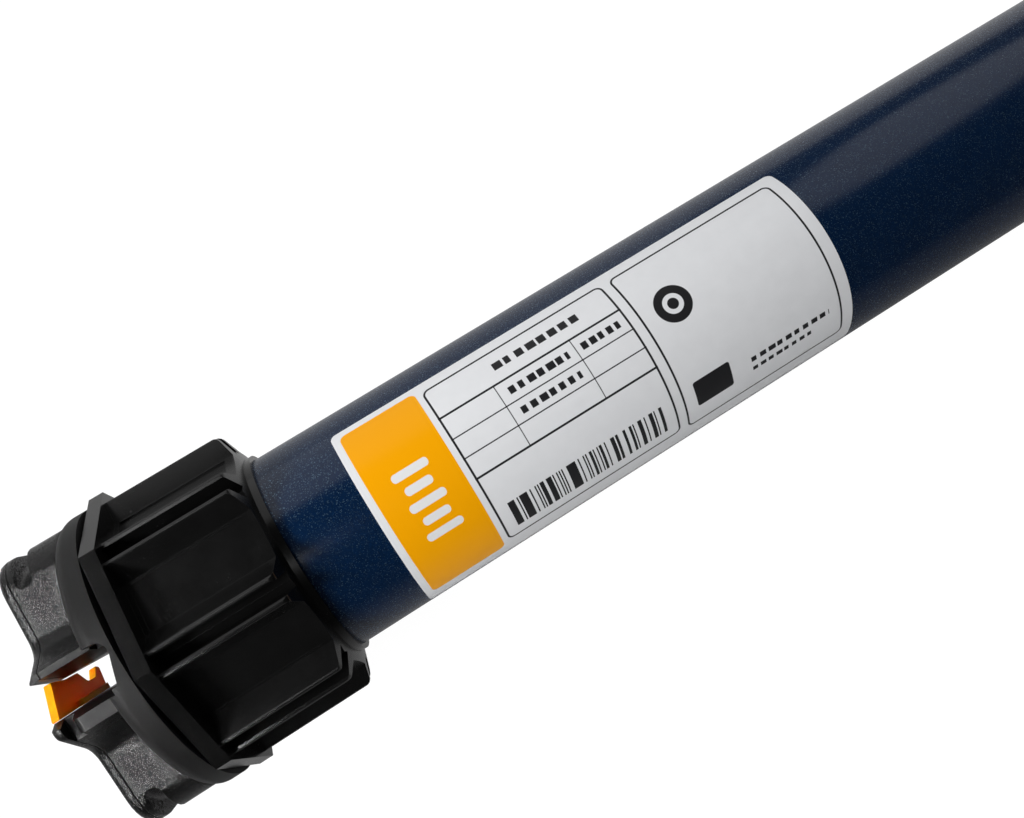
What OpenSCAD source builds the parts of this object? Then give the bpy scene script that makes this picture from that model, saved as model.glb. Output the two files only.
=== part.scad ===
// Tubular roller blind motor: star head, octagonal crown, painted tube with the
// limit unit, capacitor, motor, brake and planetary gearbox inside, and the
// octagonal drive wheel at the far end. The axis runs along +X from the head
// to the drive end. The origin lies on the axis at the front of the head's collar.

/* [Tube] */
// Outside diameter of the steel tube
tube_d = 45; // [44:0.5:46]
// Wall of the steel tube
tube_wall = 1.2; // [1:0.1:1.6]
// Length of the steel tube
tube_len = 552; // [520:1:700]

/* [Label] */
// Length of the rating label along the tube
label_len = 107.7; // [60:0.1:140]
// Arc that the label wraps round the tube, in degrees
label_arc = 122.5; // [60:0.5:170]
// Direction of the label's middle, in degrees from +Y
label_turn = 119.7; // [90:0.1:150]
// Distance from the crown to the label
label_gap = 16.4; // [5:0.1:40]
// Thickness of the label
label_t = 0.12; // [0.08:0.01:0.2]

/* [Star head] */
// Turn of the star about the axis, in degrees
head_turn = 107; // [90:1:130]
// Length of the star in front of the collar
star_len = 13; // [11:0.5:18]
// Distance across the tips of the wide lobes
star_d = 59.4; // [56:0.1:61]
// Width of a wide lobe at its root
wide_w = 30.2; // [26:0.1:32]
// Draft of a wide lobe's flank, in degrees
wide_draft = 5.5; // [2:0.5:8]
// Distance across the tips of the narrow lobes
narrow_d = 50.6; // [46:0.2:53]
// Width of a narrow lobe at its tip
narrow_w = 11; // [10:0.2:13]
// Slope of a narrow lobe's flank, in degrees
narrow_draft = 29; // [22:1:34]
// Rounding at the corners of the wide lobes
lobe_round = 8; // [3:0.5:9]
// Rounding in the flutes
flute_round = 4.5; // [2:0.5:5]
// Rounding of the star's front edge
front_round = 1.7; // [0.8:0.1:1.8]
// Diameter of the collar behind the star
collar_d = 62.6; // [60:0.1:64]
// Length of the collar
collar_len = 5.7; // [5:0.1:8]
// Rounding of the collar's front edge
collar_round = 3; // [1:0.5:4]
// Depth of the clip groove in the wide lobes
clip_groove_depth = 3.2; // [1:0.1:3.4]
// Width of the clip groove
clip_groove_w = 3.5; // [3:0.1:4]
// Lip in front of the clip groove
clip_lip = 3.1; // [2.4:0.1:3.5]
// Lip in front of the notch in the narrow lobes
notch_lip = 1.9; // [1.5:0.1:2.4]
// Width of that notch
notch_w = 2.2; // [1.5:0.1:2.6]
// Width of the channel across the head
channel_w = 6.4; // [6:0.1:8]
// Sideways offset of the channel
channel_shift = -0.8; // [-1.5:0.1:1]
// Width of the bar along the channel
bar_w = 4; // [3:0.1:4.5]
// Length of the head's spigot in the tube
spigot_len = 10; // [9:0.5:16]

/* [Buttons and cover] */
// Diameter of the limit buttons
button_d = 5; // [4:0.1:5.4]
// How far a limit button stands out of its floor
button_out = 1.6; // [1.5:0.1:2.4]
// Travel of the limit buttons
button_travel = 1.5; // [1:0.1:2]
// Distance of the first button from the axis
button_first = 8; // [7.6:0.1:8.4]
// Distance between the two buttons
button_pitch = 7.4; // [7:0.1:8]
// Thickness of the cover over the buttons
cover_t = 1.5; // [1:0.1:2]

/* [Crown] */
// Octagon flange across its flats
crown_flats = 60.7; // [58:0.1:63]
// Thickness of the octagon flange
flange_t = 3.2; // [3:0.1:5]
// Length of the crown
crown_len = 32.3; // [28:0.1:45]
// Diameter over the rib tops
rib_d = 61; // [58:0.1:62]
// Width of one rib top
rib_w = 1.3; // [1.1:0.1:1.8]
// Groove between the two ribs of a pair
groove_w = 3.4; // [2.8:0.1:4]
// Diameter over the ridge along the bottom of the rib grooves
groove_d = 52; // [50:0.2:54]
// Distance across the panels between the ribs
panel_flats = 50.4; // [49.6:0.2:52]
// Width of a panel
panel_w = 10.6; // [8:0.2:12]
// Depth of a panel below its border
panel_depth = 0.4; // [0.2:0.1:0.8]
// Length of the plain ring at the crown's end
crown_ring_len = 3.5; // [3:0.1:6]
// Diameter of the plain ring
crown_ring_d = 47.2; // [47:0.1:50]
// Gap between collar and crown
crown_gap = 0.8; // [0.4:0.1:1.5]

/* [Limit unit] */
// Module of the crown's inner gear
crown_module = 0.75; // [0.72:0.01:0.77]
// Face width of the train gears
train_face = 2.6; // [2:0.1:4]
// Diameter of the limit unit's spindles
spindle_d = 3; // [2:0.1:3]
// Width of a cam
cam_w = 4; // [3.4:0.1:6]
// Lift of a cam
cam_lift = 0.9; // [0.5:0.1:1.2]
// Length of a switch
switch_l = 13; // [10:0.2:13]
// Width of a switch
switch_w = 5.6; // [4.4:0.1:6]
// Height of a switch
switch_h = 7; // [5.5:0.1:7.2]
// Thickness of the limit frame's end plate
frame_plate_t = 3; // [2:0.1:5]

/* [Capacitor] */
// Diameter of the run capacitor
capacitor_d = 31; // [26:0.5:32]
// Length of the run capacitor
capacitor_len = 95; // [60:1:120]
// Diameter of one lead
lead_d = 1.7; // [1.2:0.1:2]

/* [Motor] */
// Length of the stator stack
stack_len = 130; // [80:1:140]
// Bore of the stator
stator_bore_d = 24.8; // [22:0.2:26]
// Air gap between rotor and stator
air_gap = 0.35; // [0.2:0.05:0.5]
// Height of a winding head
winding_h = 13; // [10:0.5:18]
// Diameter of the rotor shaft
rotor_shaft_d = 7; // [6:0.5:8]
// Thickness of an end shield
shield_t = 6; // [5:0.5:9]

/* [Brake] */
// Length of the brake magnet
magnet_len = 18; // [14:0.5:24]
// Thickness of the brake armature
armature_t = 4; // [3:0.5:6]
// Thickness of the brake disc
brake_disc_t = 3.6; // [3:0.1:5]
// Travel of the brake armature
brake_travel = 0.5; // [0.3:0.05:0.8]

/* [Gearbox] */
// Module of the planetary gears
gear_module = 0.65; // [0.6:0.01:0.67]
// Face width of the first stage
first_face = 12; // [8:0.5:16]
// Face width of the second stage
second_face = 18; // [12:0.5:24]
// Face width of the third stage
third_face = 28; // [20:0.5:36]
// Thickness of the planet carriers
carrier_t = 5; // [3:0.5:8]
// Diameter of the planet pins
planet_pin_d = 4; // [3:0.1:4.5]

/* [Drive end] */
// Diameter of the output shaft
output_d = 16; // [14:0.5:18]
// Square of the output shaft's end
output_square = 10; // [9:0.1:10.8]
// Length of the end cap in the tube
cap_len = 20; // [14:0.5:26]
// Thickness of the end cap's flange
cap_flange_t = 4; // [3:0.5:6]
// Drive wheel across its flats
wheel_flats = 60; // [58:0.1:61]
// Length of the drive wheel
wheel_len = 30; // [24:0.5:40]
// Wall of the drive wheel
wheel_wall = 3; // [2:0.1:4]
// Diameter of the wheel's hub
wheel_hub_d = 24; // [20:0.5:28]
// Distance from the end cap to the wheel
wheel_gap = 4; // [2:0.5:8]

/* [Clearances] */
// Radial clearance of a running fit
run_clear = 0.05; // [0.03:0.01:0.08]
// Clearance of a seat that does not turn
seat_clear = 0.05; // [0.02:0.01:0.1]
// Gap between pieces that move past each other
gap = 0.4; // [0.3:0.05:0.6]

/* [Hidden] */
$fn = 64;

// Teeth of the crown's inner gear, its pinion and the limit train
crown_teeth = 54;
pinion_teeth = 26;
train_small = 10;
train_big = 32;
// Teeth of the planetary stages
sun_teeth = 12;
planet_teeth = 21;
ring_teeth = sun_teeth + 2 * planet_teeth;
// Tooth form
pressure_angle = 25;
addendum = 0.85;
dedendum = 1.1;
backlash = 0.12;

// Radii of the tube and of what seats in it
tube_r = tube_d / 2;
bore_r = tube_r - tube_wall;
seat_r = bore_r - seat_clear;

// Head and crown along the axis
star_x = -star_len;
floor_x = 1;
flange_x = collar_len + crown_gap;
crown_gear_w = flange_t + 0.2;
tube_x = flange_x + crown_gear_w + gap;
crown_end_x = flange_x + crown_len;
rib_end_x = crown_end_x - crown_ring_len;
spigot_end_x = tube_x + spigot_len;
tube_end_x = tube_x + tube_len;

// Channel walls across the head, in the star's own plane
channel_low = channel_shift - channel_w / 2;
channel_high = channel_shift + channel_w / 2;
narrow_tip = narrow_d / 2;
mouth_u = narrow_tip - 3;
mouth_v = channel_low - 1.8;
// Notch between the front lip and the bar
notch_x = star_x + notch_lip;
bar_x = notch_x + notch_w;
bar_round = 2.4;

// Buttons and socket along the channel
socket_u = -13;
button_u = [button_first, button_first + button_pitch];
spring_floor_x = 9;

// Limit train: two parallel axes
pinion_a = crown_module * (crown_teeth - pinion_teeth) / 2;
train_module = 2 * pinion_a / (train_small + train_big);
neck_r = crown_module * (crown_teeth / 2 - addendum) - 0.7;
pinion_turn = head_turn + 90;
spindle_r = spindle_d / 2;
level = [for (i = [0:3]) spigot_end_x + 0.8 + i * (train_face + gap) + (i > 2 ? cam_w : 0)];
cam_x = [level[2] + train_face, level[3] + train_face];
cam_r = 6.2;
switch_x = [for (x = cam_x) x + cam_w / 2];
plate_x = max(switch_x[1] + switch_w / 2, cam_x[1] + cam_w) + 0.6;
switch_low = cam_r + cam_lift + 3.4;

// Capacitor
capacitor_x = plate_x + frame_plate_t + 6;
capacitor_r = capacitor_d / 2;
lead_r = (capacitor_r + bore_r) / 2;

// Gearbox, brake and motor, from the drive end back
planet_a = gear_module * (sun_teeth + planet_teeth) / 2;
cap_x = tube_end_x - cap_len;
carrier_x3 = cap_x - gap - carrier_t;
planet_x3 = carrier_x3 - gap - third_face;
carrier_x2 = planet_x3 - gap - carrier_t;
planet_x2 = carrier_x2 - gap - second_face;
carrier_x1 = planet_x2 - gap - carrier_t;
planet_x1 = carrier_x1 - gap - first_face;
sleeve_x = planet_x1 - 0.8;
brake_plate_t = 4.5;
brake_plate_x = sleeve_x - brake_plate_t;
brake_air = 0.2;
brake_disc_x = brake_plate_x - brake_air - brake_disc_t;
armature_x = brake_disc_x - brake_air - armature_t;
magnet_x = armature_x - brake_travel - brake_air - magnet_len;
front_shield_x = magnet_x - shield_t;
stator_end_x = front_shield_x - winding_h - 1;
stator_x = stator_end_x - stack_len;
rear_shield_x = stator_x - winding_h - 1 - shield_t;
shaft_r = rotor_shaft_d / 2;
bush_r = shaft_r + 3;
sun_bore_r = 2;

// Drive end
wheel_x = tube_end_x + cap_flange_t + wheel_gap;
wheel_end_x = wheel_x + wheel_len;
screw_d = 5;

function unit(v) = v / norm(v);
function turned(p, a) = [p.x * cos(a) - p.y * sin(a), p.x * sin(a) + p.y * cos(a)];

// Points of a rounding of radius r at corner q between p and s, on an outline moved inward by d
function corner(p, q, s, r, n, d = 0) =
    let (a = unit(p - q), b = unit(s - q), half = acos(a * b) / 2,
        c = q + unit(a + b) * r / sin(half), t0 = q + a * r / tan(half), t1 = q + b * r / tan(half),
        a0 = atan2(t0.y - c.y, t0.x - c.x), a1 = atan2(t1.y - c.y, t1.x - c.x),
        sweep = (a1 - a0 + 540) % 360 - 180, k = cross(q - p, s - q) > 0 ? r - d : r + d)
    [for (i = [0:n]) c + k * [cos(a0 + sweep * i / n), sin(a0 + sweep * i / n)]];

// Outline through [x, y, rounding] corners, anticlockwise, moved inward by d
function rounded(pts, n = 7, d = 0) = let (m = len(pts)) [for (i = [0:m - 1])
    let (p = pts[(i + m - 1) % m], q = pts[i], s = pts[(i + 1) % m])
    each q[2] > 0 ? corner([p.x, p.y], [q.x, q.y], [s.x, s.y], q[2], n, d) : [[q.x, q.y]]];

// Involute tooth: half angle of the tooth at radius r
function inv(a) = tan(a) * 180 / PI - a;
function half_angle(r, z, m, b) = let (rp = m * z / 2, rb = rp * cos(pressure_angle))
    (PI * m / 2 - b) / (2 * rp) * 180 / PI + inv(pressure_angle) - (r > rb ? inv(acos(rb / r)) : 0);
function gear_points(z, m, b, up, down) =
    let (rp = m * z / 2, rb = rp * cos(pressure_angle), lo = rp - down * m, hi = rp + up * m,
        mid = max(lo, rb), radii = lo < rb ? [lo, rb, rp, hi] : [lo, (lo + rp) / 2, rp, hi])
    [for (i = [0:z - 1]) each concat(
        [for (r = radii) let (a = i * 360 / z - half_angle(max(r, mid), z, m, b)) r * [cos(a), sin(a)]],
        [for (k = [3:-1:0]) let (r = radii[k], a = i * 360 / z + half_angle(max(r, mid), z, m, b))
            r * [cos(a), sin(a)]])];

// Stands a shape that was drawn along Z on the X axis
module axial(x = 0) translate([x, 0, 0]) rotate([90, 0, 90]) children();
// As axial, turned with the star: local x points out of the slotted lobe
module star_frame(x = 0) axial(x) rotate(head_turn) children();
// As axial, with local x on the limit pinion's side
module train_frame(x = 0) axial(x) rotate(pinion_turn) children();
module ring(r, bore, len) difference() {
    cylinder(r = r, h = len);
    translate([0, 0, -1]) cylinder(r = bore, h = len + 2);
}
module gear(z, m, len, bore = 0) difference() {
    linear_extrude(len) polygon(gear_points(z, m, backlash, addendum, dedendum));
    if (bore > 0) translate([0, 0, -1]) cylinder(r = bore, h = len + 2);
}
// The space inside an inner gear
module inner_gear_space(z, m, len)
    linear_extrude(len) polygon(gear_points(z, m, -backlash, dedendum, addendum));
module octagon(flats, len) rotate(22.5) cylinder(r = flats / 2 / cos(22.5), h = len, $fn = 8);
// A spring wound of rectangular wire, drawn along Z
module coil_spring(r, wire, pitch, len) {
    wide = 360 * wire / pitch;
    steps = 4;
    linear_extrude(len, twist = -360 * len / pitch, slices = round(12 * len / pitch), $fn = 8)
        polygon(concat([for (i = [0:steps]) let (a = wide * i / steps) r * [cos(a), sin(a)]],
            [for (i = [steps:-1:0]) let (a = wide * i / steps) (r - wire) * [cos(a), sin(a)]]));
}

// Outline of the star: wide lobes along y, narrow lobes along x
function star_quarter() =
    let (side = narrow_w / 2, tip = star_d / 2, root = wide_w / 2,
        flute = side + tan(narrow_draft) * (narrow_tip - root))
    [[narrow_tip, side, front_round + 0.8], [root, flute, flute_round],
        [root - tan(wide_draft) * (tip - flute), tip, lobe_round]];
function star_points(d) = let (q = star_quarter())
    rounded([q[0], q[1], q[2],
        [-q[2].x, q[2].y, q[2][2]], [-q[1].x, q[1].y, q[1][2]], [-q[0].x, q[0].y, q[0][2]],
        [-q[0].x, -q[0].y, q[0][2]], [-q[1].x, -q[1].y, q[1][2]], [-q[2].x, -q[2].y, q[2][2]],
        [q[2].x, -q[2].y, q[2][2]], [q[1].x, -q[1].y, q[1][2]], [q[0].x, -q[0].y, q[0][2]]], d = d);

// The star, lofted through outlines that step in round its front edge; the edge
// starts a little before the front, which the head then cuts flat
front_over = 0.15;
module star() {
    steps = [for (t = [0:30:90])
        [star_x - front_over + front_round * (1 - cos(t)), front_round * (1 - sin(t))]];
    rings = [for (s = concat(steps, [[collar_round, 0]])) [for (p = star_points(s[1])) [p.x, p.y, s[0]]]];
    m = len(rings[0]);
    last = len(rings) - 1;
    polyhedron([for (r = rings) each r], concat(
        [[for (i = [0:m - 1]) i], [for (i = [m - 1:-1:0]) last * m + i]],
        [for (k = [0:last - 1], i = [0:m - 1]) let (j = (i + 1) % m)
            [k * m + i, (k + 1) * m + i, (k + 1) * m + j, k * m + j]]));
}

module collar() rotate_extrude() {
    square([collar_d / 2 - collar_round, collar_len]);
    translate([0, collar_round]) square([collar_d / 2, collar_len - collar_round]);
    translate([collar_d / 2 - collar_round, collar_round]) circle(collar_round);
}

// Bar along the channel in the near lobe, and what is cut off to round its front end
module channel_bar() translate([narrow_tip / 2, channel_high - 1, bar_x - 1])
    cube([narrow_tip / 2 + 0.1, bar_w + 1, collar_round - bar_x + 1]);
module bar_end() translate([narrow_tip - bar_round, 0, bar_x + bar_round]) rotate([-90, 0, 0]) difference() {
    cube([bar_round + 2, bar_round + 1, narrow_w]);
    translate([0, 0, -1]) cylinder(r = bar_round + 0.25, h = narrow_w + 2);
}

// The round-bottomed clip groove in the wide lobes, and the notch in the narrow ones
module clip_grooves() {
    floor_r = star_d / 2 - clip_groove_depth;
    low = star_x + clip_lip;
    high = low + clip_groove_w;
    rotate_extrude() polygon(rounded([[floor_r, low, 1.4], [star_d, low, 0],
        [star_d, high, 0], [floor_r, high, 1.4]]));
    for (s = [1, -1]) translate([s * (narrow_tip + 2), 0, (notch_x + bar_x) / 2])
        cube([10, narrow_w * 3, bar_x - notch_x], center = true);
}

// Slot in the near lobe, flared at its mouth, and the channel behind it
module head_channel() {
    translate([0, 0, star_x - 1]) {
        linear_extrude(star_len + 1 + floor_x) polygon([[-narrow_tip - 3, channel_low],
            [12, channel_low], [12, channel_high], [-narrow_tip - 3, channel_high]]);
        linear_extrude(star_len + 1 + floor_x + 1) polygon([[11, channel_high], [11, channel_low],
            [12, channel_low], [mouth_u, mouth_v], [narrow_tip + 8, mouth_v - 0.6],
            [narrow_tip + 8, channel_high + 1.2], [narrow_tip - 0.5, channel_high + 1.2],
            [narrow_tip - 3.5, channel_high]]);
        // Blunt end of the half lobe beside the slot
        translate([mouth_u, mouth_v - 9, 0]) cube([9, 9.2, star_len + 0.6]);
    }
    // Rounded end of the slot in the collar
    translate([button_u[1] + button_d / 2 + 1.2, 0, 0]) rotate([90, 0, 90]) linear_extrude(narrow_tip / 2 + 2)
        polygon(rounded([[mouth_v - 0.4, -1, 0], [channel_high, -1, 0],
            [channel_high, floor_x + 2.2, 0], [mouth_v - 0.4, collar_len - 0.1, 2.5]]));
}

module head_body() color([0.07, 0.07, 0.08]) difference() {
    star_frame() {
        star();
        channel_bar();
        collar();
        translate([0, 0, collar_len - 1]) cylinder(r = neck_r, h = tube_x - collar_len + 2);
        translate([0, 0, tube_x]) cylinder(r = seat_r, h = spigot_len);
    }
    star_frame() {
        translate([0, 0, star_x - 5]) cylinder(r = star_d, h = 5);
        clip_grooves();
        bar_end();
        head_channel();
        // Wells for the buttons, their springs and their stems
        for (u = button_u) translate([u, channel_shift, 0]) {
            cylinder(r = button_d / 2 + run_clear, h = spring_floor_x);
            cylinder(r = 1 + run_clear, h = spigot_end_x - 2);
        }
        // Pocket of the socket and the way for its leads
        translate([socket_u, channel_shift, floor_x - 1]) {
            translate([-5, -channel_w / 2, 0]) cube([10, channel_w, 4]);
            cylinder(r = lead_pitch + lead_d / 2 + 0.2, h = spigot_end_x);
        }
    }
    // Pinion pocket with its window, and the two spindle seats
    train_frame() {
        translate([pinion_a, 0, collar_len + 0.4])
            cylinder(r = crown_module * (pinion_teeth / 2 + addendum) + gap, h = tube_x - collar_len - 0.4);
        translate([pinion_a, 0, collar_len - 3]) cylinder(r = spindle_r + run_clear, h = spigot_end_x);
        translate([0, 0, spigot_end_x - 6]) cylinder(r = spindle_r, h = 10);
    }
}

// Flat cover in the channel's front, with a snap finger beside a notch
module button_cover() color([0.95, 0.6, 0.05]) star_frame(star_x + 0.2) {
    lo = channel_low + 0.3;
    hi = channel_high - 0.1;
    linear_extrude(cover_t) polygon(rounded([[18.6, lo - 0.8, 0.3], [23.2, hi, 0.3], [-2.5, hi, 0.3],
        [-4.2, lo + 1.1, 0.5], [-2.6, lo + 0.6, 0.5], [-0.2, lo + 2.6, 1], [4, lo + 2.5, 1.4],
        [6.5, lo, 0.8], [12.4, lo, 0.3]], n = 4));
    // Skirt along the lower wall that grips the channel
    translate([0, hi - 1.2, 0]) cube([14, 1.2, 3]);
}

module limit_button(u, x) star_frame() translate([u, channel_shift, 0]) {
    translate([0, 0, floor_x - button_out]) cylinder(r = button_d / 2, h = button_out + 2.4);
    translate([0, 0, floor_x]) cylinder(r = 1, h = x - floor_x);
}
module up_limit_button() color([0.9, 0.9, 0.86]) limit_button(button_u[0], spigot_end_x - 4);
module down_limit_button() color([0.95, 0.75, 0.1]) limit_button(button_u[1], spigot_end_x - 4);
module button_spring(u) star_frame(floor_x + 2.4) translate([u, channel_shift, 0])
    coil_spring(button_d / 2 - 0.3, 0.5, 1.3, spring_floor_x - floor_x - 2.4);
module up_button_spring() color([0.7, 0.7, 0.72]) button_spring(button_u[0]);
module down_button_spring() color([0.7, 0.7, 0.72]) button_spring(button_u[1]);

module pin_places() for (u = [-3, 0, 3]) translate([socket_u + u, channel_shift, 0]) children();
module cable_socket() color([0.85, 0.85, 0.82]) star_frame() difference() {
    translate([socket_u - 5 + seat_clear, channel_low + seat_clear, floor_x - 5])
        cube([10 - 2 * seat_clear, channel_w - 2 * seat_clear, 8 - seat_clear]);
    translate([socket_u - 4, channel_low + 1, floor_x - 6]) cube([8, channel_w - 2, 5]);
    pin_places() cylinder(r = 0.7, h = 20, center = true);
}
module socket_pins() color([0.8, 0.65, 0.3]) star_frame(floor_x - 4.4)
    pin_places() cylinder(r = 0.7, h = 7.4 - seat_clear);

// Cross-section of the crown's ribbed body
function crown_points() = let (a = panel_flats / 2 + panel_depth, w = panel_w / 2, r = rib_d / 2,
        g = groove_w / 2, b = groove_d / 2, low = b - g * tan(22.5), e = g + rib_w, c = 0.4)
    [for (k = [0:7]) each concat([for (p = [[a, -w], [a, w]]) turned(p, 45 * k)],
        [for (p = [[r - c, -e], [r, c - e], [r, -g - c], [r - c, -g], [low, -g], [b, 0], [low, g],
            [r - c, g], [r, g + c], [r, e - c], [r - c, e]]) turned(p, 45 * k + 22.5)])];

module crown_adapter() color([0.05, 0.05, 0.055]) axial() difference() {
    union() {
        translate([0, 0, flange_x]) octagon(crown_flats, flange_t);
        intersection() {
            translate([0, 0, flange_x + 1]) linear_extrude(crown_len) polygon(crown_points());
            // The ribs' ends are rounded and slope down to the plain ring
            rotate_extrude() polygon(rounded([[0, 0, 0], [rib_d / 2 + 0.1, 0, 0],
                [rib_d / 2 + 0.1, rib_end_x - 0.2, 1.5], [crown_ring_d / 2, rib_end_x + 2, 0],
                [0, rib_end_x + 2, 0]], n = 5));
        }
        translate([0, 0, rib_end_x - 2]) cylinder(r = crown_ring_d / 2, h = crown_ring_len + 2);
    }
    for (k = [0:7]) rotate(45 * k) translate([panel_flats / 2, 0.3 - panel_w / 2, flange_x + flange_t + 1])
        cube([panel_depth + 1, panel_w - 0.6, rib_end_x - 0.8 - flange_x - flange_t - 1]);
    translate([0, 0, flange_x - 1]) rotate(pinion_turn)
        inner_gear_space(crown_teeth, crown_module, crown_gear_w + 2);
    translate([0, 0, flange_x + crown_gear_w]) cylinder(r = tube_r + run_clear, h = crown_len);
}

module motor_tube() color([0.05, 0.1, 0.22]) axial(tube_x) difference() {
    ring(tube_r, bore_r, tube_len);
    rivet_places(cap_x + cap_len / 2 - tube_x) cylinder(r = rivet_r + seat_clear, h = 40);
}

glue_t = 0.03;
module rating_label() color([0.9, 0.9, 0.9]) axial(crown_end_x + label_gap)
    rotate(label_turn - label_arc / 2) rotate_extrude(angle = label_arc)
        translate([tube_r + glue_t, 0]) square([label_t, label_len]);

// Pinion driven by the crown, one piece with its shaft and first train gear
module limit_pinion() color([0.9, 0.9, 0.85]) train_frame() translate([pinion_a, 0, 0]) {
    translate([0, 0, flange_x + 0.1]) gear(pinion_teeth, crown_module, crown_gear_w - 0.3);
    translate([0, 0, level[0]]) rotate(180 / train_small) gear(train_small, train_module, train_face);
    translate([0, 0, collar_len - 2.5])
        cylinder(r = spindle_r, h = plate_x + frame_plate_t + 2 - collar_len);
}
// Large gear with a small one behind it
spindle_bore = spindle_r + run_clear;
module double_gear(x, len) translate([0, 0, x]) difference() {
    union() {
        gear(train_big, train_module, train_face);
        translate([0, 0, 1]) rotate(180 / train_small) gear(train_small, train_module, len - 1);
    }
    translate([0, 0, -1]) cylinder(r = spindle_bore, h = len + 2);
}
module idler_gear() color([0.85, 0.8, 0.6]) train_frame() double_gear(level[0], 2 * train_face + gap);
module layshaft_gear() color([0.85, 0.8, 0.6]) train_frame() translate([pinion_a, 0, 0])
    double_gear(level[1], level[3] - level[1] + train_face);
// Gear with a cam whose lobe covers a sixth of a turn
module cam_wheel(i) train_frame(level[2 + i]) difference() {
    union() {
        gear(train_big, train_module, train_face);
        translate([0, 0, 1]) cylinder(r = cam_r, h = train_face + cam_w - 1);
        translate([0, 0, 1]) rotate(50 + 75 * i) rotate_extrude(angle = 64)
            translate([cam_r - 2, 0]) square([cam_lift + 2, train_face + cam_w - 1]);
    }
    translate([0, 0, -1]) cylinder(r = spindle_bore, h = train_face + cam_w + 2);
}
module up_cam_wheel() color([0.9, 0.9, 0.86]) cam_wheel(0);
module down_cam_wheel() color([0.95, 0.75, 0.1]) cam_wheel(1);
module limit_spindle() color([0.75, 0.75, 0.77]) axial(spigot_end_x - 6)
    cylinder(r = spindle_r, h = plate_x + frame_plate_t - spigot_end_x + 6);

// Tray on the switches' side, with the shelf they stand on and an end plate
module limit_frame() color([0.2, 0.2, 0.22]) train_frame() difference() {
    union() {
        translate([0, 0, spigot_end_x]) rotate(100)
            rotate_extrude(angle = 160)
                translate([seat_r - 2.2, 0]) square([2, plate_x - spigot_end_x + 1]);
        translate([0, 0, spigot_end_x]) intersection() {
            cylinder(r = seat_r - 1, h = plate_x - spigot_end_x + 1);
            translate([-40 - switch_low - switch_h, -20, 0]) cube([40, 40, 100]);
        }
        translate([0, 0, plate_x]) cylinder(r = seat_r, h = frame_plate_t);
    }
    translate([0, 0, plate_x - 1]) cylinder(r = spindle_r, h = frame_plate_t + 2);
    translate([pinion_a, 0, plate_x - 1]) cylinder(r = spindle_bore, h = frame_plate_t + 2);
    // Way for the leads through the end plate
    translate([0, 0, plate_x - 1]) rotate(head_turn - pinion_turn)
        lead_places() cylinder(r = lead_d / 2, h = frame_plate_t + 2);
}
module microswitch(i) color([0.12, 0.12, 0.14]) train_frame(switch_x[i] - switch_w / 2) difference() {
    translate([-switch_low - switch_h, -switch_l / 2, 0])
        cube([switch_h, switch_l, switch_w]);
    translate([-switch_low - 4, 0, switch_w / 2]) rotate([0, 90, 0])
        cylinder(r = 1 + run_clear, h = 10);
}
module up_microswitch() microswitch(0);
module down_microswitch() microswitch(1);
module switch_plunger(i) color([0.8, 0.1, 0.1]) train_frame(switch_x[i])
    translate([-switch_low - 3, 0, 0]) rotate([0, 90, 0])
        cylinder(r = 1, h = switch_low + 3 - cam_r - cam_lift - 0.3);
module up_switch_plunger() switch_plunger(0);
module down_switch_plunger() switch_plunger(1);

// Leads: three from the socket to the end plate, four on to the windings
lead_pitch = lead_d + 0.05;
module lead_places() for (k = [-1, 0, 1]) translate([socket_u, channel_shift + lead_pitch * k, 0]) children();
module supply_leads() color([0.35, 0.2, 0.12]) star_frame(floor_x + 3)
    lead_places() cylinder(r = lead_d / 2, h = plate_x + frame_plate_t - floor_x - 3);
module motor_lead_places() for (a = [0:8:24]) rotate(200 + a) translate([lead_r, 0, 0]) children();
module motor_leads() color([0.1, 0.25, 0.6]) axial(plate_x + frame_plate_t)
    motor_lead_places() cylinder(r = lead_d / 2, h = rear_shield_x + shield_t - plate_x - frame_plate_t);

module run_capacitor() color([0.8, 0.81, 0.83]) axial(capacitor_x) {
    difference() {
        cylinder(r = capacitor_r, h = capacitor_len);
        translate([0, 0, capacitor_len - 2]) cylinder(r = capacitor_r - 1, h = 3);
    }
    for (s = [1, -1]) translate([6 * s - 0.4, -3, capacitor_len - 2]) cube([0.8, 6, 9]);
}
// Foam rings that centre the capacitor, grooved for the leads
module capacitor_rings() color([0.15, 0.15, 0.15]) axial()
    for (x = [capacitor_x + 8, capacitor_x + capacitor_len - 18]) translate([0, 0, x]) difference() {
        ring(seat_r, capacitor_r, 10);
        motor_lead_places() translate([0, 0, -1]) cylinder(r = lead_d / 2, h = 12);
    }

// Die-cast shield with a skirt to the stator and a seat for its bush
module end_shield() difference() {
    union() {
        cylinder(r = seat_r, h = shield_t);
        ring(seat_r, seat_r - 1.6, shield_t + winding_h + 1);
    }
    translate([0, 0, -1]) cylinder(r = bush_r, h = shield_t + 2);
}
module rear_end_shield() color([0.62, 0.62, 0.64]) difference() {
    axial(rear_shield_x) end_shield();
    axial(rear_shield_x - 1) motor_lead_places() cylinder(r = lead_d / 2, h = shield_t + 2);
}
module front_end_shield() color([0.62, 0.62, 0.64])
    axial(front_shield_x + shield_t) mirror([0, 0, 1]) end_shield();
module rotor_bushes() color([0.75, 0.55, 0.3]) axial() for (x = [rear_shield_x, front_shield_x])
    translate([0, 0, x]) ring(bush_r, shaft_r + run_clear, shield_t);

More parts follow.
